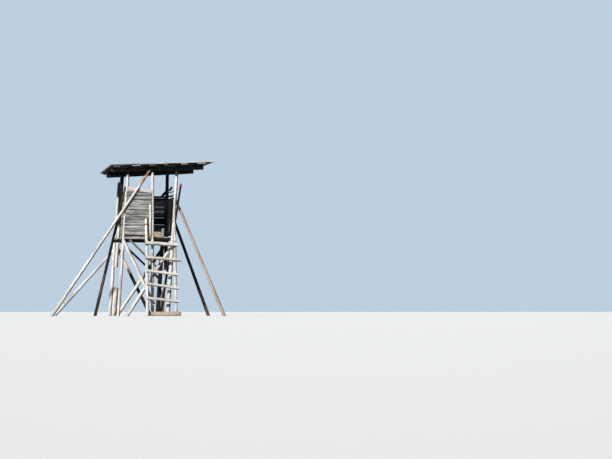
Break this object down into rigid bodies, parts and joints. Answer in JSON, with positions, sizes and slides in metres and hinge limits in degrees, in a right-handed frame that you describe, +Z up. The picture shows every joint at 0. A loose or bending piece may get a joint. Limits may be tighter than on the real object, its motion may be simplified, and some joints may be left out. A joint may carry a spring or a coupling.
{
  "type": "hunting tower stand",
  "caption": "weathered wooden hunting tower stand: leaning pole legs, a small boarded cabin, long slanting props, a pole ladder in front and a tilted board roof",
  "frame": {"origin": "on the ground, under the middle of the whole", "axes": "+X to the right seen from the ladder side, along the front wall; +Y from the ladder side to the rear; +Z up"},
  "size_m": [4.4488, 2.35, 3.8994],
  "materials": {
    "bark_pole": "pole with bark left on, rough",
    "dark_pole": "dark weathered wood, matt",
    "floor_boards": "worn rough-sawn boards, matt",
    "grey_pole": "silver-grey dry wood with checks, matt",
    "roof_boards": "weathered rough-sawn boards, matt",
    "wall_boards": "weathered grey rough-sawn boards, matt",
    "warm_pole": "peeled pole, warm tan turning grey, matt"
  },
  "bodies": {
    "root": {"brace_front_falling": "grey_pole", "brace_front_rising": "grey_pole", "brace_middle": "warm_pole", "brace_rear_falling": "dark_pole", "brace_rear_low": "warm_pole", "brace_rear_rising": "grey_pole", "brace_right_side": "warm_pole", "door_post": "grey_pole", "floor_beam_front": "dark_pole", "floor_beam_rear": "dark_pole", "floor_boards": "floor_boards", "foot_plank": "warm_pole", "ladder_rail_left": "grey_pole", "ladder_rail_right": "grey_pole", "leg_front_left": "grey_pole", "leg_front_right": "grey_pole", "leg_rear_left": "grey_pole", "leg_rear_right": "dark_pole", "post_rear_left": "dark_pole", "post_rear_right": "dark_pole", "rafter_front": "dark_pole", "rafter_rear": "dark_pole", "roof_boards_top": "roof_boards", "roof_boards_under": "roof_boards", "rung_1": "grey_pole", "rung_2": "grey_pole", "rung_3": "grey_pole", "rung_4": "grey_pole", "rung_5": "grey_pole", "sill_board": "wall_boards", "strut_left_front": "grey_pole", "strut_left_middle": "bark_pole", "strut_left_rear": "grey_pole", "strut_right_front": "warm_pole", "strut_right_rear": "dark_pole", "stub_rear_left": "grey_pole", "stub_rear_right": "grey_pole", "wall_front": "wall_boards", "wall_left": "wall_boards", "wall_rear": "wall_boards", "wall_right": "wall_boards"}
  },
  "joints": []
}
